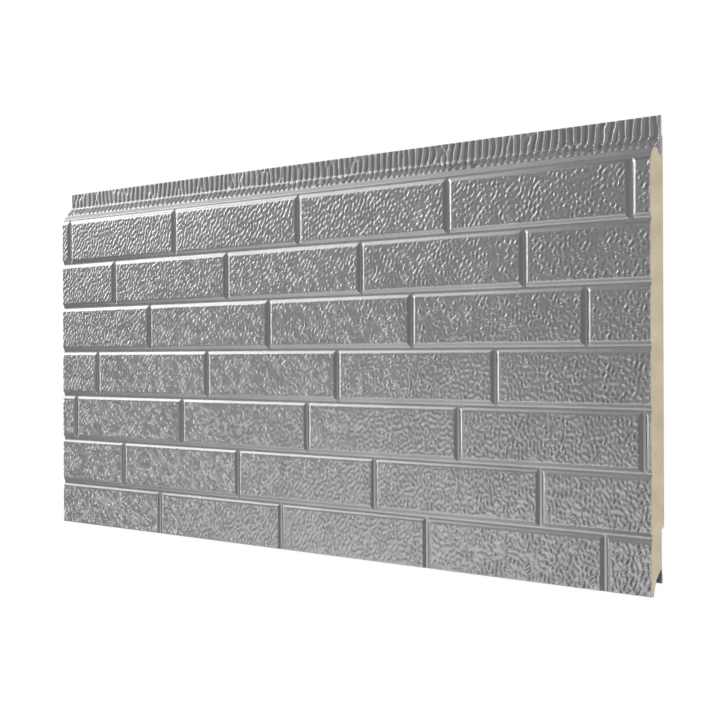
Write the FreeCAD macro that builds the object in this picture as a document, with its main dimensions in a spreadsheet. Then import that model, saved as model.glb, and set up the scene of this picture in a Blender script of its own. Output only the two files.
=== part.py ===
"""Insulated metal siding panel with a pressed brick pattern.

One roll-formed steel sheet is the face, the nailing flange along the top and the lip, groove
and leg along the bottom. Rigid foam fills the sheet from behind, and a thin foil closes the
back. The flange of one panel lies in the rebate behind the next one, whose leg hooks in front
of it and whose lip covers the crimped strip.

The panel lies on its back: X runs along its length, Y up the wall and Z out of its face. The
origin is at the middle of the back, level with the floor.
"""
import FreeCAD, Part
import Sketcher
import math
import os
import re

COURSES = 7

# Driving dimensions in millimetres. Heights run up the wall, depths out from it.
SIZES = {
    "panel_length": 1000.0,
    "cover_width": 383.0,
    "panel_depth": 16.0,
    "gauge": 0.5,
    # Pressed brick courses.
    "joint_depth": 1.3,
    "joint_wall_run": 4.0,
    "bed_joint_floor": 2.6,
    "bed_joint_drop": 4.6,
    "head_joint_floor": 5.5,
    "brick_pitch": 240.0,
    # First head joint of each course, from the right end, lowest course first.
    "head_joint_1": 55.0,
    "head_joint_2": 135.5,
    "head_joint_3": 8.0,
    "head_joint_4": 196.0,
    "head_joint_5": 77.0,
    "head_joint_6": 156.5,
    "head_joint_7": 22.5,
    # Flange and crimped strip along the top edge, with the closed bead behind them.
    "lap": 29.5,
    "hem_gap": 0.4,
    "flange_setback": 0.2,
    "crease_rise": 10.5,
    "strip_foot_rise": 1.5,
    "strip_depth": 9.6,
    "shoulder_drop": 3.5,
    "bead_tip_gap": 2.0,
    "bead_keel_drop": 6.5,
    "bead_keel_depth": 3.8,
    "bead_back_drop": 3.5,
    # Lip, groove and leg along the bottom edge.
    "lip_fold": 1.3,
    "lip_height": 12.0,
    "lip_back_depth": 10.6,
    "lip_return": 2.5,
    "lip_return_depth": 0.5,
    "roof_height": 23.5,
    "apex_width": 0.8,
    "flange_clearance": 0.4,
    "crease_clearance": 0.5,
    "leg_hem": 9.0,
    # Foam and foil behind the sheet.
    "foil_gauge": 0.2,
    "foam_start": 3.0,
    "foam_top_drop": 4.5,
    "rebate_height": 60.0,
    "rebate_slant": 3.0,
}

# Heights and depths worked out from the driving dimensions.
OVERALL = "(cover_width + lap)"
COURSE_PITCH = f"(cover_width / {COURSES})"
JOINT_DEPTH = "(panel_depth - joint_depth)"
FOLDED = "(2 * gauge + hem_gap)"
FLANGE_FRONT = f"(flange_setback + {FOLDED})"
CREASE = "(cover_width + crease_rise)"
STRIP_FOOT = "(cover_width + strip_foot_rise)"
STRIP_FRONT = f"({FLANGE_FRONT} + strip_depth)"
SHOULDER = "(cover_width - shoulder_drop)"
BEAD_KEEL = "(cover_width - bead_keel_drop)"
BEAD_BACK = "(cover_width - bead_back_drop)"
BEAD_TIP = f"({STRIP_FRONT} - 2 * gauge - bead_tip_gap)"
LIP_INSIDE = f"({JOINT_DEPTH} - lip_fold)"
ROOF_START = "(lip_height + lip_return)"
ROOF_FRONT = "(lip_back_depth - lip_return_depth)"
LEG_BACK = f"({FLANGE_FRONT} + flange_clearance)"
LEG_FRONT = f"({LEG_BACK} + {FOLDED})"
LEG_BOTTOM = "(crease_rise + crease_clearance)"
FOAM_TOP = "(cover_width - foam_top_drop)"
REBATE_BACK = f"({LEG_FRONT} - gauge / 2)"

# Outer side of the sheet from the closed bead, round the flange, down the face and round the
# lip and groove to the raw end of the leg, as height and depth.
SHEET_PATH = [
    (STRIP_FOOT, BEAD_TIP),
    (BEAD_KEEL, "bead_keel_depth"),
    (BEAD_BACK, "flange_setback"),
    (OVERALL, "flange_setback"),
    (OVERALL, FLANGE_FRONT),
    (CREASE, FLANGE_FRONT),
    (STRIP_FOOT, STRIP_FRONT),
    (SHOULDER, JOINT_DEPTH),
    ("0", JOINT_DEPTH),
    ("0", LIP_INSIDE),
    ("lip_height", "lip_back_depth"),
    (ROOF_START, ROOF_FRONT),
    ("roof_height", f"{LEG_FRONT} + apex_width"),
    ("roof_height", LEG_FRONT),
    (LEG_BOTTOM, LEG_FRONT),
    (LEG_BOTTOM, LEG_BACK),
    (f"{LEG_BOTTOM} + leg_hem", LEG_BACK),
]

# The foam's outline runs inside the thickness of the sheet, which then trims it.
BEAD_ARM_SLOPE = "((bead_keel_depth - flange_setback) / (bead_keel_drop - bead_back_drop))"
LIP_SLOPE = f"(({LIP_INSIDE} - lip_back_depth) / lip_height)"
FOAM_PATH = [
    ("foam_start", f"{JOINT_DEPTH} - gauge / 2"),
    (SHOULDER, f"{JOINT_DEPTH} - gauge / 2"),
    (f"{STRIP_FOOT} - gauge / 3", f"{STRIP_FRONT} - gauge / 3"),
    (STRIP_FOOT, f"{BEAD_TIP} - gauge / 3"),
    (f"{BEAD_KEEL} + gauge", "bead_keel_depth"),
    (FOAM_TOP, f"bead_keel_depth - {BEAD_ARM_SLOPE} * (bead_keel_drop - foam_top_drop) + gauge / 2"),
    (FOAM_TOP, "foil_gauge"),
    ("rebate_height", "foil_gauge"),
    ("rebate_height - rebate_slant", REBATE_BACK),
    ("roof_height + gauge / 2", REBATE_BACK),
    ("roof_height + gauge / 5", f"{LEG_FRONT} + apex_width + gauge / 2"),
    (f"{ROOF_START} + gauge / 5", f"{ROOF_FRONT} + gauge / 2"),
    ("lip_height", "lip_back_depth + gauge / 2"),
    ("foam_start", f"{LIP_INSIDE} - {LIP_SLOPE} * foam_start + gauge / 2"),
]

doc = FreeCAD.newDocument("siding_panel")
sizes = doc.addObject("Spreadsheet::Sheet", "sizes")
for row, (size_name, size_value) in enumerate(SIZES.items(), start=1):
    sizes.set(f"A{row}", size_name)
    sizes.set(f"B{row}", str(size_value))
    sizes.setAlias(f"B{row}", size_name)
doc.recompute()


def on_sheet(formula):
    """Give the formula with every driving dimension read from the spreadsheet."""
    return re.sub(r"[a-z]\w*", lambda word: f"sizes.{word.group(0)}", formula)


def bind(item, formulas):
    """Tie properties of a document object to formulas of driving dimensions."""
    for property_path, formula in formulas.items():
        item.setExpression(property_path, on_sheet(formula))


def section_sketch(name, points, closed):
    """Draw straight runs through points of height and depth, across the panel's left end."""
    sketch = doc.addObject("Sketcher::SketchObject", name)
    sketch.Placement.Rotation = FreeCAD.Rotation(FreeCAD.Vector(1, 1, 1), 120)
    bind(sketch, {"Placement.Base.x": "-panel_length / 2", "Placement.Base.y": f"-{OVERALL} / 2"})
    origin, run_start, run_end = -1, 1, 2
    corners = [FreeCAD.Vector(*(sketch.evalExpression(on_sheet(axis)) for axis in point)) for point in points]
    if closed:
        corners.append(corners[0])
    for start, end in zip(corners, corners[1:]):
        sketch.addGeometry(Part.LineSegment(start, end), False)
    runs = len(corners) - 1
    for run in range(1, runs):
        sketch.addConstraint(Sketcher.Constraint("Coincident", run - 1, run_end, run, run_start))
    if closed:
        sketch.addConstraint(Sketcher.Constraint("Coincident", runs - 1, run_end, 0, run_start))
    for index, point in enumerate(points):
        corner = (index, run_start) if index < runs else (runs - 1, run_end)
        place = (corners[index].x, corners[index].y)
        for kind, formula, value in zip(("DistanceX", "DistanceY"), point, place):
            spot = sketch.addConstraint(Sketcher.Constraint(kind, origin, run_start, *corner, value))
            sketch.setExpression(f"Constraints[{spot}]", on_sheet(formula))
    return sketch


def run_along(name, face):
    """Carry a section along the whole length of the panel."""
    run = doc.addObject("Part::Extrusion", name)
    run.Base = face
    run.DirMode = "Normal"
    run.Solid = True
    bind(run, {"LengthFwd": "panel_length"})
    return run


def combine(kind, name, base, tool):
    """Join, cut or intersect two objects."""
    result = doc.addObject(kind, name)
    result.Base = base
    result.Tool = tool
    result.Refine = True
    return result


def brick_field(name, base_depth, lower_edge):
    """Tapered bricks of all courses on one level, trimmed at the panel's ends and lower edge."""
    bricks = []
    for course in range(COURSES):
        first_joint = f"head_joint_{course + 1}"
        first = -math.floor(SIZES[first_joint] / SIZES["brick_pitch"])
        last = math.ceil((SIZES["panel_length"] - SIZES[first_joint]) / SIZES["brick_pitch"])
        lower = f"({course} * {COURSE_PITCH} - bed_joint_drop + bed_joint_floor / 2)"
        upper = f"({course + 1} * {COURSE_PITCH} - bed_joint_drop - bed_joint_floor / 2)"
        for place in range(first, last + 1):
            left = f"(-{first_joint} - {place} * brick_pitch + head_joint_floor / 2)"
            right = f"(-{first_joint} - {place - 1} * brick_pitch - head_joint_floor / 2)"
            brick = doc.addObject("Part::Wedge", f"{name}_{course + 1}_{place - first + 1}")
            brick.Placement.Rotation = FreeCAD.Rotation(FreeCAD.Vector(1, 0, 0), 90)
            bind(brick, {
                "Placement.Base.x": "panel_length / 2",
                "Placement.Base.y": f"-{OVERALL} / 2",
                "Placement.Base.z": base_depth,
                "Xmin": left,
                "Xmax": right,
                "X2min": f"{left} + joint_wall_run",
                "X2max": f"{right} - joint_wall_run",
                "Zmin": f"-{upper}",
                "Zmax": f"-{lower}",
                "Z2min": f"-{upper} + joint_wall_run",
                "Z2max": f"-{lower} - joint_wall_run",
                "Ymin": "0",
                "Ymax": "joint_depth",
            })
            bricks.append(brick)
    field = doc.addObject("Part::Compound", f"{name}_courses")
    field.Links = bricks
    limits = doc.addObject("Part::Box", f"{name}_limits")
    bind(limits, {
        "Placement.Base.x": "-panel_length / 2",
        "Placement.Base.y": f"-{OVERALL} / 2 + {lower_edge}",
        "Length": "panel_length",
        "Width": f"{OVERALL} - {lower_edge}",
        "Height": "panel_depth",
    })
    return combine("Part::Common", f"{name}_trimmed", field, limits)


def face_sheet(hollows):
    """The roll-formed sheet: its section along the panel, with the bricks pressed out of it."""
    strip = doc.addObject("Part::Offset2D", "sheet_strip")
    strip.Source = section_sketch("sheet_path", SHEET_PATH, closed=False)
    strip.Mode = "Skin"
    strip.Join = "Intersection"
    strip.Fill = True
    bind(strip, {"Value": "-gauge"})
    section = run_along("sheet_section", strip)
    bricks = brick_field("brick", JOINT_DEPTH, "0")
    raised = combine("Part::Fuse", "sheet_raised", section, bricks)
    return combine("Part::Cut", "face_sheet", raised, hollows)


def foam_core(hollows, sheet):
    """The foam that fills the sheet from behind, up into the hollow of every brick."""
    section = run_along("foam_section", section_sketch("foam_path", FOAM_PATH, closed=True))
    filled = combine("Part::Fuse", "foam_filled", section, hollows)
    return combine("Part::Cut", "foam_core", filled, sheet)


def back_foil():
    """The thin facing on the flat part of the foam's back."""
    foil = doc.addObject("Part::Box", "back_foil")
    bind(foil, {
        "Placement.Base.x": "-panel_length / 2",
        "Placement.Base.y": f"rebate_height - {OVERALL} / 2",
        "Length": "panel_length",
        "Width": f"{FOAM_TOP} - rebate_height",
        "Height": "foil_gauge",
    })
    return foil


brick_hollows = brick_field("hollow", f"{JOINT_DEPTH} - gauge", "gauge")
skin = face_sheet(brick_hollows)
sub_parts = [skin, foam_core(brick_hollows, skin), back_foil()]
doc.recompute()

for item in doc.Objects:
    if {"Invalid", "Error"} & set(item.State):
        raise RuntimeError(f"{item.Name} did not build: {item.State}")
for sub_part in sub_parts:
    shape = sub_part.Shape
    if shape.isNull() or not shape.isValid() or len(shape.Solids) != 1:
        raise RuntimeError(f"{sub_part.Label} is not one sound solid")

os.makedirs("parts", exist_ok=True)
for sub_part in sub_parts:
    sub_part.Shape.exportStep(os.path.join("parts", f"{sub_part.Label}.step"))
    print(f"{sub_part.Label}: {sub_part.Shape.Volume / 1000:.1f} cm3")
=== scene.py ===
"""Looks of the insulated metal siding panel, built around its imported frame.

The panel lies on its back: X runs along its length, Y up the wall and Z out of its face. Its
sizes are in millimetres and become metres when a mesh is made. On the panel's section a height
runs up the wall from the bottom of the lip, and a depth runs out from the wall.
"""
import logging
import math
from dataclasses import dataclass, field
from enum import Enum, IntEnum

import bpy
import numpy as np
from mathutils import Matrix, Vector


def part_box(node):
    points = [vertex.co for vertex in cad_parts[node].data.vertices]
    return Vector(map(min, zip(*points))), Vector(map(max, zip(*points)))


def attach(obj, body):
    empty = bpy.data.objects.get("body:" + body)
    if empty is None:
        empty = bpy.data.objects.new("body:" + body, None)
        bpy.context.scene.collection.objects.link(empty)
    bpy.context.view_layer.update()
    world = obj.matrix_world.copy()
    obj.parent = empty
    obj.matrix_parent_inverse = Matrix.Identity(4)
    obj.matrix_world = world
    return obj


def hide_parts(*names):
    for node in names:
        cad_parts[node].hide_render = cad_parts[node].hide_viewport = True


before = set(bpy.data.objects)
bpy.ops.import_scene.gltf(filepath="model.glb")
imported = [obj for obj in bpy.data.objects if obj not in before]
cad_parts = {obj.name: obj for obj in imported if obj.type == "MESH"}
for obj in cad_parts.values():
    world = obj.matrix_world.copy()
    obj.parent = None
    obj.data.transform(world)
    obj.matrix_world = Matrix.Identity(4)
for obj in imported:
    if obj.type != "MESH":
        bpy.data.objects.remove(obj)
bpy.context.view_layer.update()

MM = 0.001
BODY = "root"
WHITE = (1.0, 1.0, 1.0, 1.0)
LOG = logging.getLogger("siding_panel")

Pair = tuple[float, float]
Triple = tuple[float, float, float]


def linear(hex_colour: str) -> tuple[float, float, float, float]:
    """Turn an sRGB hex colour into linear light.

    Args:
        hex_colour: six hex digits with a leading mark, such as "#8a8f8e".

    Returns:
        Linear red, green and blue, with full opacity.
    """
    parts = [int(hex_colour[place:place + 2], 16) / 255 for place in (1, 3, 5)]
    light = [part / 12.92 if part <= 0.04045 else ((part + 0.055) / 1.055) ** 2.4 for part in parts]
    return (*light, 1.0)


def per_metre(size_mm: float) -> float:
    """Give a texture scale whose pattern repeats about once in the given size."""
    return 1.0 / (size_mm * MM)


def add_node(material: bpy.types.Material | bpy.types.World, kind: str, settings: dict | None = None,
             links: dict | None = None, **values: object) -> bpy.types.Node:
    """Add one shader node.

    Args:
        material: the material or world that gets the node.
        kind: the node's type name.
        settings: attributes of the node, or of what it holds, each as a path from the node.
        links: input name or number to the output socket that feeds it.
        values: input name, with underscores for spaces, to its constant value.

    Returns:
        The new node.
    """
    tree = material.node_tree
    node = tree.nodes.new(kind)
    for path, value in (settings or {}).items():
        holder, _, name = path.rpartition(".")
        setattr(node.path_resolve(holder) if holder else node, name, value)
    for name, value in values.items():
        node.inputs[name.replace("_", " ")].default_value = value
    for name, socket in (links or {}).items():
        tree.links.new(socket, node.inputs[name])
    return node


def fresh_material(name: str) -> bpy.types.Material:
    """Make an empty node material.

    Args:
        name: its name.

    Returns:
        The material.
    """
    material = bpy.data.materials.new(name)
    material.use_nodes = True
    material.node_tree.nodes.clear()
    return material


def tones(dark: str, light: str, ends: Pair = (0.3, 0.7)) -> dict[str, object]:
    """Give the settings of a colour ramp that spreads a pattern over two tones.

    Args:
        dark: sRGB hex colour of the pattern's low end.
        light: sRGB hex colour of its high end.
        ends: levels of the pattern at which the two colours are reached.

    Returns:
        Places and colours of the ramp's two elements, each by its path from the node.
    """
    settings = {}
    for index, (place, colour) in enumerate(zip(ends, (dark, light))):
        settings[f"color_ramp.elements[{index}].position"] = place
        settings[f"color_ramp.elements[{index}].color"] = linear(colour)
    return settings


@dataclass(frozen=True)
class PaintedSteel:
    """Satin polyester paint on pressed galvanised steel, coil coated before forming.

    It gives a cool grey with a soft sheen: slopes that face the light are nearly white, slopes
    that face away go dark, and the paint film has a faint skin of its own.
    """

    name: str = "satin painted steel, coil coated"
    light_grey: str = "#919292"
    dark_grey: str = "#888989"
    mottle_mm: float = 90.0
    skin_mm: float = 2.2
    skin_depth_mm: float = 0.02
    metallic: float = 0.78
    roughness: float = 0.31

    def material(self) -> bpy.types.Material:
        """Build the paint from a broad mottle of two greys and a fine film bump.

        Returns:
            The material.
        """
        material = fresh_material(self.name)
        place = add_node(material, "ShaderNodeTexCoord").outputs["Object"]
        mottle = add_node(material, "ShaderNodeTexNoise", links={"Vector": place},
                          Scale=per_metre(self.mottle_mm), Detail=3.0)
        colour = add_node(material, "ShaderNodeValToRGB", tones(self.dark_grey, self.light_grey),
                          {"Fac": mottle.outputs["Fac"]}).outputs["Color"]
        skin = add_node(material, "ShaderNodeTexNoise", links={"Vector": place},
                        Scale=per_metre(self.skin_mm), Detail=2.0)
        bump = add_node(material, "ShaderNodeBump", links={"Height": skin.outputs["Fac"]},
                        Strength=1.0, Distance=self.skin_depth_mm * MM)
        shader = add_node(material, "ShaderNodeBsdfPrincipled",
                          links={"Base Color": colour, "Normal": bump.outputs["Normal"]},
                          Metallic=self.metallic, Roughness=self.roughness)
        add_node(material, "ShaderNodeOutputMaterial", links={"Surface": shader.outputs["BSDF"]})
        return material


@dataclass(frozen=True)
class CutSteel:
    """Bare sheared edge of galvanised steel: a thin bright line with fine shear marks."""

    name: str = "galvanised steel, sheared edge"
    bright: str = "#dcd9d2"
    dull: str = "#b4b1aa"
    # Real shear marks are too fine to show, so these are drawn coarser.
    mark_mm: float = 1.5
    mark_ends: Pair = (0.35, 0.65)
    metallic: float = 1.0
    roughness: float = 0.42

    def material(self) -> bpy.types.Material:
        """Build the edge from a fine mottle of bright and dull zinc.

        Returns:
            The material.
        """
        material = fresh_material(self.name)
        place = add_node(material, "ShaderNodeTexCoord").outputs["Object"]
        marks = add_node(material, "ShaderNodeTexNoise", links={"Vector": place},
                         Scale=per_metre(self.mark_mm), Detail=2.0)
        colour = add_node(material, "ShaderNodeValToRGB", tones(self.dull, self.bright, self.mark_ends),
                          {"Fac": marks.outputs["Fac"]}).outputs["Color"]
        shader = add_node(material, "ShaderNodeBsdfPrincipled", links={"Base Color": colour},
                          Metallic=self.metallic, Roughness=self.roughness)
        add_node(material, "ShaderNodeOutputMaterial", links={"Surface": shader.outputs["BSDF"]})
        return material


@dataclass(frozen=True)
class BackingCoat:
    """Thin epoxy backing coat on the sheet's hidden side: matt pale grey, seen only in its folds."""

    name: str = "epoxy backing coat, rolled on"
    pale: str = "#e6e6e2"
    grey: str = "#d6d6d1"
    streak_mm: float = 12.0
    roughness: float = 0.7

    def material(self) -> bpy.types.Material:
        """Build the coat from a soft mottle of two pale greys.

        Returns:
            The material.
        """
        material = fresh_material(self.name)
        place = add_node(material, "ShaderNodeTexCoord").outputs["Object"]
        streaks = add_node(material, "ShaderNodeTexNoise", links={"Vector": place},
                           Scale=per_metre(self.streak_mm), Detail=3.0)
        colour = add_node(material, "ShaderNodeValToRGB", tones(self.grey, self.pale),
                          {"Fac": streaks.outputs["Fac"]}).outputs["Color"]
        shader = add_node(material, "ShaderNodeBsdfPrincipled", links={"Base Color": colour},
                          Roughness=self.roughness)
        add_node(material, "ShaderNodeOutputMaterial", links={"Surface": shader.outputs["BSDF"]})
        return material


@dataclass(frozen=True)
class RigidFoam:
    """Rigid polyurethane foam, sawn: matt beige with small open cells, whose hollows get painted shade, and
    saw drift.
    """

    name: str = "rigid polyurethane foam, sawn"
    pale: str = "#d8ccb2"
    deep: str = "#c6b9a0"
    # Colour of the painted shade in the cell hollows.
    pit_shade: str = "#a3967f"
    drift_mm: float = 24.0
    # Real cells are about a third as wide, too fine to show, so these are drawn coarser.
    cell_mm: float = 0.9
    cell_depth_mm: float = 0.18
    cell_bump: float = 0.7
    # Distances from a cell's centre, in cells, over which the painted shade in its hollow fades, and that
    # shade's share.
    pit_shade_reach: Pair = (0.05, 0.32)
    pit_shade_share: float = 0.45
    roughness: float = 0.92

    def material(self) -> bpy.types.Material:
        """Build the foam from a broad drift of two beiges, with painted shade darkening the lower cell
        centres.

        Returns:
            The material.
        """
        material = fresh_material(self.name)
        place = add_node(material, "ShaderNodeTexCoord").outputs["Object"]
        drift = add_node(material, "ShaderNodeTexNoise", links={"Vector": place},
                         Scale=per_metre(self.drift_mm), Detail=4.0)
        broad = add_node(material, "ShaderNodeValToRGB", tones(self.deep, self.pale),
                         {"Fac": drift.outputs["Fac"]}).outputs["Color"]
        cells = add_node(material, "ShaderNodeTexVoronoi", links={"Vector": place},
                         Scale=per_metre(self.cell_mm), Randomness=1.0).outputs["Distance"]
        # Painted shade: cell centres, where the bump is lowest, are darkened towards the shade colour.
        pit_shading = add_node(material, "ShaderNodeMapRange", links={"Value": cells}, From_Min=self.pit_shade_reach[0],
                        From_Max=self.pit_shade_reach[1], To_Min=self.pit_shade_share, To_Max=0.0)
        # A mix node's colours are its inputs 6 and 7 and its output 2.
        colour = add_node(material, "ShaderNodeMix", {"data_type": "RGBA"},
                          {"Factor": pit_shading.outputs["Result"], 6: broad})
        colour.inputs[7].default_value = linear(self.pit_shade)
        bump = add_node(material, "ShaderNodeBump", links={"Height": cells}, Strength=self.cell_bump,
                        Distance=self.cell_depth_mm * MM)
        shader = add_node(material, "ShaderNodeBsdfPrincipled",
                          links={"Base Color": colour.outputs[2], "Normal": bump.outputs["Normal"]},
                          Roughness=self.roughness)
        add_node(material, "ShaderNodeOutputMaterial", links={"Surface": shader.outputs["BSDF"]})
        return material


@dataclass(frozen=True)
class EmbossedFoil:
    """Aluminium foil on paper, rolled onto the foam: dull silver with a fine cross emboss."""

    name: str = "aluminium foil facing, cross embossed"
    silver: str = "#c4c5c4"
    grey: str = "#aeb0b0"
    wrinkle_mm: float = 35.0
    emboss_mm: float = 3.0
    emboss_depth_mm: float = 0.08
    emboss_bump: float = 0.6
    emboss_turn_deg: float = 45.0
    metallic: float = 0.9
    roughness: float = 0.38

    def material(self) -> bpy.types.Material:
        """Build the foil from two crossed wave patterns as bump and a broad wrinkle mottle.

        Returns:
            The material.
        """
        material = fresh_material(self.name)
        place = add_node(material, "ShaderNodeTexCoord").outputs["Object"]
        wrinkle = add_node(material, "ShaderNodeTexNoise", links={"Vector": place},
                           Scale=per_metre(self.wrinkle_mm), Detail=5.0)
        colour = add_node(material, "ShaderNodeValToRGB", tones(self.grey, self.silver),
                          {"Fac": wrinkle.outputs["Fac"]}).outputs["Color"]
        heights = []
        for turn in (math.radians(self.emboss_turn_deg), -math.radians(self.emboss_turn_deg)):
            turned = add_node(material, "ShaderNodeMapping", links={"Vector": place},
                              Rotation=(0.0, 0.0, turn))
            # A wave texture of scale 1 repeats about every 0.314 of its coordinate.
            wave = add_node(material, "ShaderNodeTexWave", links={"Vector": turned.outputs["Vector"]},
                            Scale=per_metre(self.emboss_mm) * math.pi / 10)
            heights.append(wave.outputs["Fac"])
        crossed = add_node(material, "ShaderNodeMath", {"operation": "MAXIMUM"}, dict(enumerate(heights)))
        bump = add_node(material, "ShaderNodeBump", links={"Height": crossed.outputs["Value"]},
                        Strength=self.emboss_bump, Distance=self.emboss_depth_mm * MM)
        shader = add_node(material, "ShaderNodeBsdfPrincipled",
                          links={"Base Color": colour, "Normal": bump.outputs["Normal"]},
                          Metallic=self.metallic, Roughness=self.roughness)
        add_node(material, "ShaderNodeOutputMaterial", links={"Surface": shader.outputs["BSDF"]})
        return material


@dataclass(frozen=True)
class PaleFloor:
    """Plain white studio floor that stays white to the eye and still takes a soft shadow."""

    name: str = "matt white studio floor"
    colour: str = "#f2f2f0"
    white: float = 1.05
    shadow_share: float = 0.1

    def material(self) -> bpy.types.Material:
        """Mix plain white for what the eye and reflections see with a matt floor that takes shadow.

        Returns:
            The material.
        """
        material = fresh_material(self.name)
        matt = add_node(material, "ShaderNodeBsdfDiffuse", Color=linear(self.colour)).outputs["BSDF"]
        white = add_node(material, "ShaderNodeEmission", Color=WHITE, Strength=self.white)
        shown = add_node(material, "ShaderNodeMixShader", links={1: white.outputs["Emission"], 2: matt},
                         Fac=self.shadow_share)
        rays = add_node(material, "ShaderNodeLightPath").outputs
        seen = rays["Is Camera Ray"]
        for other in ("Is Glossy Ray", "Is Transmission Ray"):
            either = add_node(material, "ShaderNodeMath", {"operation": "MAXIMUM"},
                              {0: seen, 1: rays[other]})
            seen = either.outputs["Value"]
        surface = add_node(material, "ShaderNodeMixShader",
                           links={"Fac": seen, 1: matt, 2: shown.outputs["Shader"]})
        add_node(material, "ShaderNodeOutputMaterial", links={"Surface": surface.outputs["Shader"]})
        return material


def smoothstep(value: np.ndarray) -> np.ndarray:
    """Ease from 0 to 1: three times the square less twice the cube of the clipped value."""
    clipped = np.clip(value, 0.0, 1.0)
    return clipped * clipped * (3.0 - 2.0 * clipped)


@dataclass(frozen=True)
class Spectrum:
    """One-sided band of waves about a wavelength and a direction."""

    wavelength: float
    # Width of the band as a share of its middle.
    band: float
    direction_deg: float
    spread_deg: float

    def weights(self, along: np.ndarray, up: np.ndarray) -> np.ndarray:
        """Weigh each wave.

        The weight is a bell curve over the wave's length about the chosen one, times a bell curve
        over its direction. Waves that run the opposite way get next to none.

        Args:
            along: waves in a millimetre along the panel.
            up: waves in a millimetre up the wall.

        Returns:
            The weight of each wave.
        """
        centre = 1.0 / self.wavelength
        size = np.hypot(along, up)
        turn = np.degrees(np.arctan2(up, along)) - self.direction_deg
        turn = (turn + 180.0) % 360.0 - 180.0
        radial = np.exp(-0.5 * ((size - centre) / (self.band * centre)) ** 2)
        return radial * np.exp(-0.5 * (turn / self.spread_deg) ** 2) * (size > 0)

    def noise(self, shape: tuple[int, int], steps: Pair, seed: int) -> np.ndarray:
        """Make a smooth random field from the band.

        White noise is taken to frequencies, each wave is weighted, and the field is taken back and
        divided by its root mean square. One-sided waves leave a complex field, whose angle is the
        phase of the ridges.

        Args:
            shape: rows and columns of the field.
            steps: millimetres up the wall from row to row and along the panel from column to column.
            seed: seed of the random draw.

        Returns:
            The complex field, with a root mean square of 1.
        """
        white = np.random.default_rng(seed).standard_normal(shape)
        up = np.fft.fftfreq(shape[0], steps[0])[:, None]
        along = np.fft.fftfreq(shape[1], steps[1])[None, :]
        waves = np.fft.ifft2(np.fft.fft2(white) * self.weights(along, up))
        return waves / np.sqrt(np.mean(np.abs(waves) ** 2))


@dataclass
class BrickPattern:
    """Pressed brick courses: where their joints are and how high the sheet stands."""

    courses: int = 7
    cover_width: float = 383.0
    joint_depth: float = 1.8
    # Foot of the wall above a bed joint or left of a head joint, and of the wall across from it,
    # as distances from the joint's middle, and the runs of the two walls.
    bed_feet: Pair = (1.3, 1.3)
    bed_runs: Pair = (3.6, 3.7)
    head_feet: Pair = (2.6, 0.7)
    head_runs: Pair = (3.1, 5.8)
    wall_ease: float = 0.2
    bed_drop: float = 4.6
    brick_pitch: float = 240.0
    # First head joint of each course, from the right end, lowest course first.
    head_joints: tuple[float, ...] = (55.0, 135.5, 8.0, 196.0, 77.0, 156.5, 22.5)
    grain_depth: float = 0.2
    grain_skew: float = 0.08
    grain_limit: float = 2.0
    grain_margin: float = 1.6
    grain: Spectrum = Spectrum(wavelength=5.7, band=0.28, direction_deg=-50.0, spread_deg=50.0)
    grain_seed: int = 11

    @property
    def course_pitch(self) -> float:
        """Height of one course with its joint."""
        return self.cover_width / self.courses

    def walls(self, height: np.ndarray, from_right: np.ndarray) -> tuple[np.ndarray, np.ndarray]:
        """Measure how far each point stands up the walls of its bed joint and its head joint.

        The distance from the joint's middle, less that of the wall's foot, is divided by its run:
        0 is the foot of the wall and 1 its top. Past the highest course there is only joint floor.

        Args:
            height: heights of the rows.
            from_right: distances of the columns from the right end.

        Returns:
            The share of the bed joint's wall, one for each row, and of the head joint's wall, for
            each row and column.
        """
        shifted = height + self.bed_drop
        course = np.floor(shifted / self.course_pitch).astype(int)
        above_bed = shifted - np.round(shifted / self.course_pitch) * self.course_pitch
        bed = self.up_wall(above_bed, self.bed_feet, self.bed_runs)
        bed = np.where(course >= self.courses, 0.0, bed)
        first = np.array(self.head_joints)[np.clip(course, 0, self.courses - 1)]
        half = self.brick_pitch / 2
        past_head = (from_right[None, :] - first[:, None] + half) % self.brick_pitch - half
        return bed[:, None], self.up_wall(past_head, self.head_feet, self.head_runs)

    def up_wall(self, past: np.ndarray, feet: Pair, runs: Pair) -> np.ndarray:
        """Measure a share of a joint's two walls.

        Args:
            past: signed distances from the joint's middle.
            feet: distances of the feet of the walls on the plus and the minus side.
            runs: how far the walls on the plus and the minus side run.

        Returns:
            0 at the foot of the wall and 1 at its top.
        """
        plus_side = (past - feet[0]) / runs[0]
        minus_side = (-past - feet[1]) / runs[1]
        return np.where(past > 0, plus_side, minus_side)

    def height(self, height: np.ndarray, from_right: np.ndarray) -> np.ndarray:
        """Give the sheet's rise over the joint floors: the lower wall, mostly straight and partly eased.

        Args:
            height: heights of the rows.
            from_right: distances of the columns from the right end.

        Returns:
            The rise for each row and column.
        """
        lower = np.minimum(*self.walls(height, from_right))
        straight = np.clip(lower, 0.0, 1.0)
        return self.joint_depth * (straight + self.wall_ease * (smoothstep(lower) - straight))

    def hammering(self, height: np.ndarray, from_right: np.ndarray) -> np.ndarray:
        """Give the hammered grain of the brick tops, which fades out along their smooth margins.

        The grain is a band of random waves a few millimetres long, most of them leaning one way,
        clipped at a limit and skewed so that the hollows are broader than the crests.

        Args:
            height: heights of the rows, evenly spaced.
            from_right: distances of the columns from the right end, evenly spaced.

        Returns:
            The rise of the grain over the plain brick.
        """
        steps = (height[1] - height[0], from_right[0] - from_right[1])
        waves = self.grain.noise((len(height), len(from_right)), steps, self.grain_seed).real
        waves = np.clip(waves / waves.std(), -self.grain_limit, self.grain_limit)
        waves = waves + self.grain_skew * (waves * waves - 1.0)
        bed, head = self.walls(height, from_right)
        inside = (np.minimum(bed, head) - 1.0) * self.bed_runs[0] / self.grain_margin
        return self.grain_depth * waves * smoothstep(inside)


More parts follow.
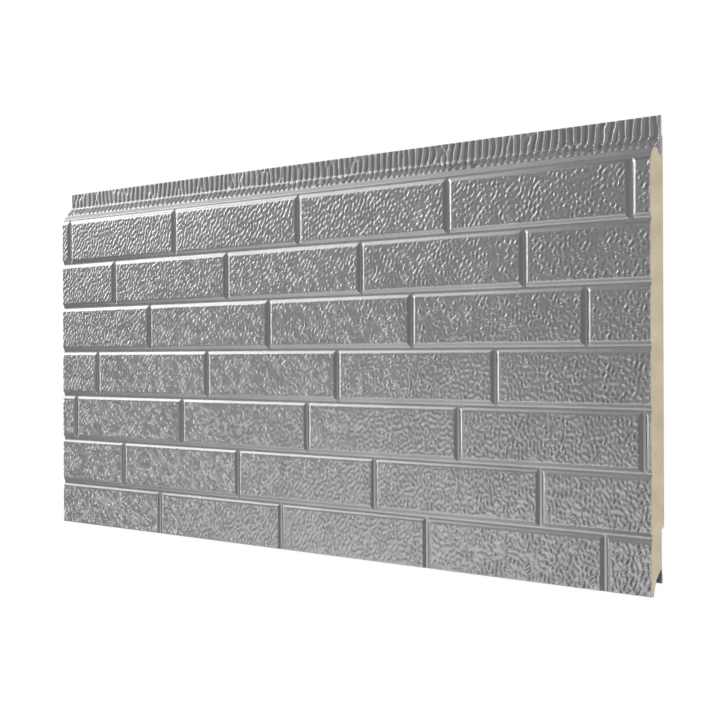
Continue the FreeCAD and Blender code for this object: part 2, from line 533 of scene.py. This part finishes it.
class Zone(Enum):
    """Stretch of the sheet's section, from the closed bead to the leg."""

    BEAD = "bead"
    FLANGE = "flange"
    STRIP = "strip"
    SHOULDER = "shoulder"
    FACE = "face"
    LIP = "lip"
    GROOVE = "groove"


@dataclass(frozen=True)
class Corner:
    """Corner of the sheet's section on its outer side.

    The zone and the row spacing belong to the run that ends at the corner.
    """

    height: float
    depth: float
    bend: float
    zone: Zone
    spacing: float


@dataclass
class SheetSection:
    """Section of the roll-formed sheet, as a path along its outer side with rounded bends."""

    cover_width: float = 383.0
    lap: float = 29.5
    bead_tip_depth: float = 8.2
    bead_keel_drop: float = 6.5
    bead_keel_depth: float = 3.8
    bead_back_drop: float = 3.5
    flange_back: float = 0.2
    flange_front: float = 1.6
    crease_rise: float = 10.5
    strip_foot_rise: float = 1.5
    strip_foot_depth: float = 11.2
    shoulder_drop: float = 3.5
    joint_level: float = 14.7
    lip_inside: float = 13.4
    lip_height: float = 12.0
    lip_back_depth: float = 10.6
    roof_start: float = 14.5
    roof_front: float = 10.1
    roof_height: float = 23.5
    roof_back: float = 4.2
    leg_front: float = 3.4
    leg_back: float = 2.0
    leg_foot: float = 11.0
    leg_top: float = 20.0
    hem_bend: float = 0.68
    row_spacing: float = 1.2
    plain_spacing: float = 50.0
    arc_rows: int = 4

    def corners(self) -> list[Corner]:
        """List the corners of the section.

        Returns:
            The corners from the bead's tip, round the flange and down the face to the leg.
        """
        cover, hem = self.cover_width, self.hem_bend
        top = cover + self.lap
        strip_foot = cover + self.strip_foot_rise
        fine, plain = self.row_spacing, self.plain_spacing
        # Height, depth and radius of each bend, then the zone and row spacing of the run up to it.
        return [
            Corner(strip_foot, self.bead_tip_depth, 0.0, Zone.BEAD, plain),
            Corner(cover - self.bead_keel_drop, self.bead_keel_depth, 1.2, Zone.BEAD, plain),
            Corner(cover - self.bead_back_drop, self.flange_back, 1.5, Zone.BEAD, plain),
            Corner(top, self.flange_back, hem, Zone.FLANGE, 2 * fine),
            Corner(top, self.flange_front, hem, Zone.FLANGE, fine),
            Corner(cover + self.crease_rise, self.flange_front, 4.0, Zone.FLANGE, fine),
            Corner(strip_foot, self.strip_foot_depth, 8.0, Zone.STRIP, fine),
            Corner(cover - self.shoulder_drop, self.joint_level, 2.0, Zone.SHOULDER, fine),
            Corner(0.0, self.joint_level, 0.65, Zone.FACE, fine),
            Corner(0.0, self.lip_inside, 0.5, Zone.LIP, fine),
            Corner(self.lip_height, self.lip_back_depth, 2.0, Zone.GROOVE, plain),
            Corner(self.roof_start, self.roof_front, 1.5, Zone.GROOVE, plain),
            Corner(self.roof_height, self.roof_back, 0.5, Zone.GROOVE, plain),
            Corner(self.roof_height, self.leg_front, 0.5, Zone.GROOVE, plain),
            Corner(self.leg_foot, self.leg_front, hem, Zone.GROOVE, plain),
            Corner(self.leg_foot, self.leg_back, hem, Zone.GROOVE, plain),
            Corner(self.leg_top, self.leg_back, 0.0, Zone.GROOVE, plain),
        ]

    def rows(self) -> tuple[np.ndarray, np.ndarray, np.ndarray]:
        """Walk along the section and set down its rows.

        Each run is divided evenly between the ends of its two bends. A bend of radius r that turns
        by an angle starts r times the tangent of half the angle before its corner, and its rows lie
        on the arc that is tangent to both runs.

        Returns:
            Points of height and depth, outward unit normals, and the zone of each row.
        """
        corners = self.corners()
        spots = np.array([(corner.height, corner.depth) for corner in corners])
        runs = np.diff(spots, axis=0)
        ways = runs / np.linalg.norm(runs, axis=1, keepdims=True)
        points, heads, zones = [], [], []
        start = spots[0]
        for index, way in enumerate(ways):
            corner = corners[index + 1]
            last = index == len(ways) - 1
            onward = way if last else ways[index + 1]
            side = np.sign(way[0] * onward[1] - way[1] * onward[0])
            turn = math.acos(float(np.clip(way @ onward, -1.0, 1.0)))
            end = spots[index + 1] - way * corner.bend * math.tan(turn / 2)
            count = max(1, math.ceil(np.linalg.norm(end - start) / corner.spacing))
            share = np.linspace(0.0, 1.0, count + 1)[:, None]
            points.append(start + share * (end - start))
            heads.append(np.broadcast_to(way, (count + 1, 2)))
            zones += [corner.zone] * (count + 1)
            if last:
                break
            angle = np.linspace(0.0, turn, self.arc_rows + 1)[1:-1, None]
            across = side * np.array([-way[1], way[0]])
            arc = end + corner.bend * (np.sin(angle) * way + (1 - np.cos(angle)) * across)
            points.append(arc)
            heads.append(np.cos(angle) * way + np.sin(angle) * across)
            arc_zone = Zone.LIP if corner.zone is Zone.FACE else corner.zone
            zones += [arc_zone] * len(arc)
            start = end + corner.bend * (math.sin(turn) * way + (1 - math.cos(turn)) * across)
        headings = np.concatenate(heads)
        normals = np.stack([headings[:, 1], -headings[:, 0]], axis=1)
        return np.concatenate(points), normals, np.array(zones)


@dataclass
class Crimping:
    """Gathered pleats of the flange and the strip under it, where the sheet is shrunk by rolling."""

    flange_depth: float = 1.45
    strip_depth: float = 2.1
    strip_sink: float = 0.6
    strip_growth: float = 3.0
    strip_lean_deg: float = -22.0
    pleats: Spectrum = Spectrum(wavelength=9.5, band=0.16, direction_deg=-2.0, spread_deg=14.0)
    # Share of the way along a pleat, towards the right end, and the height there.
    profile: tuple[Pair, ...] = (
        (0.0, 0.87), (0.42, 1.0), (0.47, 0.95), (0.62, 0.5),
        (0.77, 0.06), (0.84, 0.0), (0.92, 0.42), (1.0, 0.87),
    )
    # Size of the waves at which a pleat has half its height.
    faint_wave: float = 0.15
    reach: float = 60.0
    row_step: float = 0.5
    crease_margin: float = 2.0
    crease_fill: float = 0.8
    crease_width: float = 1.3
    seed: int = 5

    def pleating(self, above: np.ndarray, columns: np.ndarray) -> np.ndarray:
        """Give wavy pleats that run across the flange and on down the strip, some of which branch.

        One-sided random waves give each point a phase, which is its place on its pleat. Below the
        crease the phase is shifted in step with the distance, so that the pleats lean. The height
        is read off the pleat's profile: a nearly flat crest, a flank that falls to the right, and
        a steep rise to the next crest. Along the crease a bell curve fills most of the hollows.

        Args:
            above: distances of the rows above the crease, less than 0 on the strip.
            columns: positions of the columns, evenly spaced.

        Returns:
            Height from 0 to 1 for each row and column.
        """
        count = int(self.reach / self.row_step)
        shape = (count, len(columns))
        waves = self.pleats.noise(shape, (self.row_step, columns[1] - columns[0]), self.seed)
        # Spots stay just short of the last row, so that each one has a next row.
        spot = np.clip(above / self.row_step + count / 2, 0, count - 1.001)
        low = spot.astype(int)
        share = (spot - low)[:, None]
        rows = waves[low] * (1 - share) + waves[low + 1] * share
        lean = math.tan(math.radians(self.strip_lean_deg))
        shift = np.minimum(above, 0.0) * lean / self.pleats.wavelength
        turn = (np.angle(rows) / (2 * math.pi) - shift[:, None]) % 1.0
        places, levels = np.transpose(self.profile)
        size = np.abs(rows)
        pleats = 0.5 + (np.interp(turn, places, levels) - 0.5) * size / (size + self.faint_wave)
        bridge = self.crease_fill * np.exp(-(above / self.crease_width) ** 2)
        return 1.0 - (1.0 - pleats) * (1.0 - bridge[:, None])

    def strip_swell(self, above: np.ndarray, pleats: np.ndarray) -> np.ndarray:
        """Let the pleats grow from the flange's depth to the strip's and die out at its foot.

        Args:
            above: distances of the rows above the crease, falling to the strip's foot.
            pleats: heights of the pleats, from 0 to 1.

        Returns:
            How far the sheet stands out along its normal.
        """
        grown = smoothstep(-above / self.strip_growth)
        window = smoothstep((above - above[-1]) / self.crease_margin)
        depth = self.flange_depth + grown * (self.strip_depth - self.flange_depth)
        return pleats * (depth * window)[:, None] - (self.strip_sink * grown * window)[:, None]


class Side(IntEnum):
    """Side of the sheet, numbered as its material slot."""

    OUTER = 0
    RIM = 1
    INNER = 2


def grid_normals(points: np.ndarray) -> np.ndarray:
    """Give the unit normals of a grid: the cross product of its changes along rows and columns."""
    normals = np.cross(np.gradient(points, axis=0), np.gradient(points, axis=1))
    return normals / np.linalg.norm(normals, axis=2, keepdims=True)


def slab_mesh(name: str, outer: np.ndarray, inner: np.ndarray, normals: np.ndarray, row_step: int,
              column_step: int) -> bpy.types.Mesh:
    """Close a sheet between its outer and inner surface.

    The outer surface is a grid of quads. The inner one takes every row_step-th row and every
    column_step-th column and faces the other way, and the rims between them are polygons with all
    the outer points of one inner step.

    Args:
        name: name of the mesh.
        outer: points of the outer surface, rows by columns, in millimetres.
        inner: points of the inner surface on the same grid.
        normals: unit normals of the outer surface, which run on smoothly into the next piece.
        row_step: rows of the outer grid in one step of the inner one.
        column_step: columns of the outer grid in one step of the inner one.

    Returns:
        The mesh, with each side of the sheet in its own material slot.
    """
    rows, columns = outer.shape[:2]
    coarse = inner[::row_step, ::column_step]
    front = np.arange(rows * columns).reshape(rows, columns)
    back = front.size + np.arange(coarse.shape[0] * coarse.shape[1]).reshape(coarse.shape[:2])

    def quads(grid: np.ndarray) -> np.ndarray:
        """List the quads of a grid of point numbers, facing outwards."""
        corners = [grid[:-1, :-1], grid[1:, :-1], grid[1:, 1:], grid[:-1, 1:]]
        return np.stack(corners, axis=-1).reshape(-1, 4)

    def rim(fine: np.ndarray, rough: np.ndarray, step: int) -> np.ndarray:
        """List the polygons between a fine border and a rough one.

        Args:
            fine: point numbers of the fine border.
            rough: point numbers of the rough border.
            step: steps of the fine border in one step of the rough one.

        Returns:
            Point numbers of each polygon, along the fine border and back along the rough one.
        """
        starts = np.arange(len(rough) - 1) * step
        along = fine[starts[:, None] + np.arange(step + 1)]
        return np.concatenate([along, rough[1:, None], rough[:-1, None]], axis=1)

    groups = [
        quads(front),
        quads(back)[:, ::-1],
        rim(front[0], back[0], column_step),
        rim(front[-1], back[-1], column_step)[:, ::-1],
        rim(front[:, -1], back[:, -1], row_step),
        rim(front[:, 0], back[:, 0], row_step)[:, ::-1],
    ]
    points = np.concatenate([outer.reshape(-1, 3), coarse.reshape(-1, 3)]) * MM
    loops = np.concatenate([group.ravel() for group in groups])
    sizes = np.concatenate([np.full(len(group), group.shape[1]) for group in groups])
    outside = len(groups[0])
    surfaces = outside + len(groups[1])
    slots = np.full(len(sizes), int(Side.RIM), np.int32)
    slots[:outside] = Side.OUTER
    slots[outside:surfaces] = Side.INNER
    mesh = bpy.data.meshes.new(name)
    mesh.vertices.add(len(points))
    mesh.vertices.foreach_set("co", points.astype(np.float32).ravel())
    mesh.loops.add(len(loops))
    mesh.loops.foreach_set("vertex_index", loops.astype(np.int32))
    mesh.polygons.add(len(sizes))
    mesh.polygons.foreach_set("loop_start", (np.cumsum(sizes) - sizes).astype(np.int32))
    mesh.polygons.foreach_set("material_index", slots)
    mesh.polygons.foreach_set("use_smooth", np.arange(len(sizes)) < surfaces)
    mesh.update(calc_edges=True)
    mesh.validate()
    # A zero normal leaves the mesh's own one.
    loop_normals = np.zeros((len(loops), 3))
    loop_normals[:groups[0].size] = normals.reshape(-1, 3)[groups[0].ravel()]
    mesh.normals_split_custom_set(loop_normals)
    return mesh


@dataclass(frozen=True)
class SheetPiece:
    """Piece of the sheet and how finely it is meshed.

    The outer side takes every so many columns of the whole sheet, and the inner side every so many
    rows and columns of the outer one.
    """

    name: str
    columns: int = 2
    inner_rows: int = 1
    inner_columns: int = 2


@dataclass
class FaceSheet:
    """The roll-formed sheet: crimped flange, hammered brick courses, lip, groove and leg."""

    gauge: float = 0.5
    column_spacing: float = 0.625
    courses_in_piece: int = 2
    # From the bead round the flange and down the face to the leg.
    pieces: tuple[SheetPiece, ...] = (
        SheetPiece("bead_and_flange_back"),
        SheetPiece("flange_and_strip", columns=1, inner_columns=4),
        SheetPiece("courses_upper", inner_rows=2),
        SheetPiece("courses_middle", inner_rows=2),
        SheetPiece("courses_lower", inner_rows=2),
        SheetPiece("course_lowest"),
        SheetPiece("groove_and_leg", columns=16, inner_columns=1),
    )
    section: SheetSection = field(default_factory=SheetSection)
    bricks: BrickPattern = field(default_factory=BrickPattern)
    crimping: Crimping = field(default_factory=Crimping)
    paint: PaintedSteel = PaintedSteel()
    edge: CutSteel = CutSteel()
    backing: BackingCoat = BackingCoat()

    def surfaces(self) -> tuple[np.ndarray, np.ndarray, np.ndarray, np.ndarray]:
        """Work out the sheet's outer and inner surface over its whole section and length.

        A point is the section's point, moved out along its normal by the strip's pleats, and lifted
        out of the wall by the flange's pleats, the bricks and their grain. The inner side lies one
        gauge behind and has all but the grain.

        Returns:
            Outer points, inner points (rows by columns by 3), heights and zones of the rows.
        """
        low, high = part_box("face_sheet")
        left, right = low.x / MM, high.x / MM
        base = low.y / MM
        coarsest = max(piece.columns for piece in self.pieces)
        steps = coarsest * round((right - left) / self.column_spacing / coarsest)
        columns = np.linspace(left, right, steps + 1)
        spots, normals, zones = self.section.rows()
        heights = spots[:, 0]
        from_right = right - columns
        lift = np.zeros((len(spots), len(columns)))
        grain = np.zeros_like(lift)
        swell = np.zeros_like(lift)

        face = zones == Zone.FACE
        lift[face] = self.bricks.height(heights[face], from_right)
        grain[face] = self.bricks.hammering(heights[face], from_right)
        lip = np.flatnonzero(zones == Zone.LIP)
        fade = np.linspace(1.0, 0.0, len(lip) + 1)[1:, None]
        lift[lip] = lift[lip[0] - 1] * fade

        crimp = self.crimping
        crease = self.section.cover_width + self.section.crease_rise
        flange = zones == Zone.FLANGE
        above = heights[flange] - crease
        window = crimp.flange_depth * smoothstep(above / crimp.crease_margin)
        lift[flange] = crimp.pleating(above, columns) * window[:, None]
        # Round the crease and down the strip the pleats stand out along the sheet's normal.
        strip = zones == Zone.STRIP
        bent = flange & (normals[:, 1] > 0.0) & (heights < crease + crimp.crease_margin)
        crimped = np.flatnonzero(bent | strip)
        lift[bent] = 0.0
        path = np.cumsum(np.linalg.norm(np.diff(spots[crimped], axis=0, prepend=spots[crimped[:1]]), axis=1))
        above = heights[crimped[0]] - crease - path
        swell[crimped] = crimp.strip_swell(above, crimp.pleating(above, columns))

        def points(rise: np.ndarray, out: np.ndarray) -> np.ndarray:
            """Place the points of every row and column.

            Args:
                rise: how far each point is lifted out of the wall.
                out: how far it is moved along its row's normal.

            Returns:
                The points, rows by columns by 3.
            """
            along = np.broadcast_to(columns, rise.shape)
            up = base + heights[:, None] + out * normals[:, :1]
            depth = spots[:, 1:] + rise + out * normals[:, 1:]
            return np.stack([along, up, depth], axis=-1)

        return points(lift + grain, swell), points(lift, swell - self.gauge), heights, zones

    def cuts(self, heights: np.ndarray, zones: np.ndarray) -> list[int]:
        """Find the rows at which the pieces meet: the flange's top, joint floors and the lip's edge.

        Args:
            heights: heights of the rows.
            zones: zones of the rows.

        Returns:
            First row of each piece and the last row of all. Pieces of several courses have an even
            number of steps, so that their inner side can take every second row.
        """
        face = np.flatnonzero(zones == Zone.FACE)
        groove = np.flatnonzero(zones == Zone.GROOVE)
        found = [0, int(np.argmax(heights)), int(face[0])]
        for course in range(self.bricks.courses - self.courses_in_piece, 0, -self.courses_in_piece):
            joint = course * self.bricks.course_pitch - self.bricks.bed_drop
            cut = int(face[np.argmin(np.abs(heights[face] - joint))])
            found.append(cut - (cut - found[-1]) % 2)
        return found + [int(groove[0]) - 1, len(zones) - 1]

    def build(self) -> list[bpy.types.Object]:
        """Make the pieces of the sheet, paint them and let them stand for the plain sheet.

        Returns:
            The pieces.
        """
        outer, inner, heights, zones = self.surfaces()
        normals = grid_normals(outer)
        finishes = {Side.OUTER: self.paint, Side.RIM: self.edge, Side.INNER: self.backing}
        materials = [finishes[side].material() for side in Side]
        cuts = self.cuts(heights, zones)
        made = []
        for plan, first, last in zip(self.pieces, cuts, cuts[1:]):
            part = (slice(first, last + 1), slice(None, None, plan.columns))
            mesh = slab_mesh(plan.name, outer[part], inner[part], normals[part], plan.inner_rows,
                             plan.inner_columns)
            for material in materials:
                mesh.materials.append(material)
            piece = bpy.data.objects.new(plan.name, mesh)
            bpy.context.scene.collection.objects.link(piece)
            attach(piece, BODY)
            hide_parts("face_sheet")
            made.append(piece)
        return made


@dataclass
class Core:
    """Foam core and back foil: solids of the frame that keep their shape and get a finish."""

    foam: RigidFoam = RigidFoam()
    foil: EmbossedFoil = EmbossedFoil()

    def dress(self) -> list[bpy.types.Object]:
        """Finish the foam and the foil.

        Returns:
            Their objects.
        """
        dressed = []
        for node, finish in (("foam_core", self.foam), ("back_foil", self.foil)):
            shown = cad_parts[node]
            shown.data.materials.clear()
            shown.data.materials.append(finish.material())
            dressed.append(shown)
        return dressed


@dataclass(frozen=True)
class Lamp:
    """Soft rectangular lamp: its place, the point it faces and its size in metres, and its watts."""

    name: str
    place: Triple
    aim: Triple
    size: Pair
    power: float

    def hang(self) -> None:
        """Put the lamp in its place and face it to its aim."""
        light = bpy.data.lights.new(self.name, "AREA")
        light.shape = "RECTANGLE"
        light.size, light.size_y = self.size
        light.energy = self.power
        holder = bpy.data.objects.new(self.name, light)
        way = Vector(self.aim) - Vector(self.place)
        turn = way.to_track_quat("-Z", "Y").to_matrix().to_4x4()
        holder.matrix_world = Matrix.Translation(self.place) @ turn
        bpy.context.scene.collection.objects.link(holder)


@dataclass(frozen=True)
class Room:
    """Light of the room around the panel: dim, with a broad glow at the far left and pale walls."""

    sky: float = 0.07
    glow: float = 0.98
    glow_way: Triple = (-0.7, 0.47, 0.54)
    glow_edge: float = 0.4
    glow_power: float = 2.0
    # Sines of the elevations between which the glow comes up out of the dark horizon.
    glow_rise: Pair = (0.45, 0.76)
    walls: float = 0.95
    # Shares of +X in a direction between which the walls come up, away from the glow's side.
    wall_side: Pair = (-0.45, 0.15)
    # Sines of the elevations between which the walls go over into the ceiling, and its share.
    wall_top: Pair = (0.55, 0.85)
    ceiling: float = 0.35

    def world(self) -> bpy.types.World:
        """Build the room's light as a function of the direction.

        The glow is the dot product of the direction with the glow's own, taken to 0 at its edge,
        raised to a power and faded out towards the horizon. The walls ease in from the glow's side
        to the others and fall off into the ceiling, and are added to the glow.

        Returns:
            The world.
        """
        world = bpy.data.worlds.new("studio")
        world.use_nodes = True
        world.node_tree.nodes.clear()
        eased = {"interpolation_type": "SMOOTHSTEP"}
        way = add_node(world, "ShaderNodeTexCoord").outputs["Generated"]
        axes = add_node(world, "ShaderNodeSeparateXYZ", links={"Vector": way}).outputs
        nearness = add_node(world, "ShaderNodeVectorMath", {"operation": "DOT_PRODUCT"}, {0: way})
        nearness.inputs[1].default_value = self.glow_way
        share = add_node(world, "ShaderNodeMapRange", links={"Value": nearness.outputs["Value"]},
                         From_Min=self.glow_edge, From_Max=1.0, To_Min=0.0, To_Max=1.0)
        falloff = add_node(world, "ShaderNodeMath", {"operation": "POWER"}, {0: share.outputs["Result"]})
        falloff.inputs[1].default_value = self.glow_power
        rise = add_node(world, "ShaderNodeMapRange", eased, {"Value": axes["Z"]},
                        From_Min=self.glow_rise[0], From_Max=self.glow_rise[1])
        patch = add_node(world, "ShaderNodeMath", {"operation": "MULTIPLY"},
                         {0: falloff.outputs["Value"], 1: rise.outputs["Result"]})
        level = add_node(world, "ShaderNodeMapRange", links={"Value": patch.outputs["Value"]},
                         From_Min=0.0, From_Max=1.0, To_Min=self.sky, To_Max=self.glow)
        side = add_node(world, "ShaderNodeMapRange", eased, {"Value": axes["X"]},
                        From_Min=self.wall_side[0], From_Max=self.wall_side[1], To_Max=self.walls)
        over = add_node(world, "ShaderNodeMapRange", eased, {"Value": axes["Z"]}, From_Min=self.wall_top[0],
                        From_Max=self.wall_top[1], To_Min=1.0, To_Max=self.ceiling)
        total = add_node(world, "ShaderNodeMath", {"operation": "MULTIPLY_ADD"},
                         {0: side.outputs["Result"], 1: over.outputs["Result"], 2: level.outputs["Result"]})
        light = add_node(world, "ShaderNodeBackground", links={"Strength": total.outputs["Value"]},
                         Color=WHITE)
        add_node(world, "ShaderNodeOutputWorld", links={"Surface": light.outputs["Background"]})
        return world


@dataclass
class Studio:
    """White floor, soft lights and the camera at the photograph's viewing angle."""

    image_width: float = 720.0
    focal_px: float = 1901.7
    sensor_mm: float = 36.0
    camera_mm: Triple = (1614.3, 1.1, 1217.9)
    yaw_deg: float = 51.527
    pitch_deg: float = -0.116
    roll_deg: float = -0.234
    clip_end_m: float = 50.0
    floor_half_m: float = 8.0
    finish: PaleFloor = PaleFloor()
    room: Room = Room()
    # Windows at the far left rake the walls of the joints, and the other lamps even out the rest.
    lamps: tuple[Lamp, ...] = (
        Lamp("low_window", place=(-6.0, 0.7, 0.76), aim=(0.2, 0.0, 0.0), size=(3.0, 0.55), power=72.0),
        Lamp("high_window", place=(-2.3, 0.72, 0.64), aim=(-0.3, 0.05, 0.0), size=(0.8, 0.45), power=4.2),
        Lamp("bed_window", place=(-1.35, 0.85, 0.68), aim=(0.0, 0.0, 0.0), size=(0.9, 0.4), power=5.0),
        Lamp("edge_window", place=(-1.4, 1.2, 0.26), aim=(0.0, 0.19, 0.0), size=(1.4, 0.4), power=3.5),
        Lamp("soft_panel", place=(-1.45, -1.1, 0.85), aim=(0.1, -0.1, 0.0), size=(1.2, 0.5), power=4.0),
        Lamp("lower_fill", place=(-1.1, -0.62, 1.4), aim=(0.3, -0.15, 0.0), size=(0.8, 0.7), power=4.4),
        Lamp("middle_fill", place=(-1.2, -0.28, 1.0), aim=(0.1, -0.1, 0.0), size=(0.6, 0.5), power=0.45),
        Lamp("near_end_fill", place=(2.3, -0.5, 1.4), aim=(0.5, 0.0, 0.0), size=(2.2, 1.6), power=8.5),
    )

    def floor(self) -> None:
        """Lay the floor under the panel."""
        half = self.floor_half_m
        mesh = bpy.data.meshes.new("floor")
        corners = [(-half, -half, 0.0), (half, -half, 0.0), (half, half, 0.0), (-half, half, 0.0)]
        mesh.from_pydata(corners, [], [(0, 1, 2, 3)])
        mesh.materials.append(self.finish.material())
        ground = bpy.data.objects.new("floor", mesh)
        bpy.context.scene.collection.objects.link(ground)

    def lights(self) -> None:
        """Light the room and hang its lamps."""
        bpy.context.scene.world = self.room.world()
        for lamp in self.lamps:
            lamp.hang()

    def camera(self) -> None:
        """Set the camera from its place and its turn, pitch and roll about the panel's axes."""
        yaw, pitch, roll = (math.radians(angle) for angle in (self.yaw_deg, self.pitch_deg, self.roll_deg))
        level_right = Vector((math.cos(yaw), 0.0, -math.sin(yaw)))
        level_ahead = Vector((-math.sin(yaw), 0.0, -math.cos(yaw)))
        wall_up = Vector((0.0, 1.0, 0.0))
        ahead = level_ahead * math.cos(pitch) + wall_up * math.sin(pitch)
        tilted_up = wall_up * math.cos(pitch) - level_ahead * math.sin(pitch)
        right = level_right * math.cos(roll) + tilted_up * math.sin(roll)
        up = tilted_up * math.cos(roll) - level_right * math.sin(roll)
        lens = bpy.data.cameras.new("camera")
        lens.sensor_width = self.sensor_mm
        lens.lens = self.focal_px * self.sensor_mm / self.image_width
        lens.clip_end = self.clip_end_m
        holder = bpy.data.objects.new("camera", lens)
        turn = Matrix((right, up, -ahead)).transposed().to_4x4()
        holder.matrix_world = Matrix.Translation(Vector(self.camera_mm) * MM) @ turn
        bpy.context.scene.collection.objects.link(holder)
        bpy.context.scene.camera = holder

    def build(self) -> None:
        """Set up floor, lights, camera and a plain view."""
        self.floor()
        self.lights()
        self.camera()
        bpy.context.scene.view_settings.view_transform = "Standard"


def main() -> None:
    """Build the panel's pieces, then the studio around it."""
    logging.basicConfig(level=logging.INFO, format="%(message)s")
    for piece in FaceSheet().build() + Core().dress():
        LOG.info("%s: %d polygons, %s", piece.name, len(piece.data.polygons), piece.data.materials[0].name)
    Studio().build()


if __name__ == "__main__":
    main()
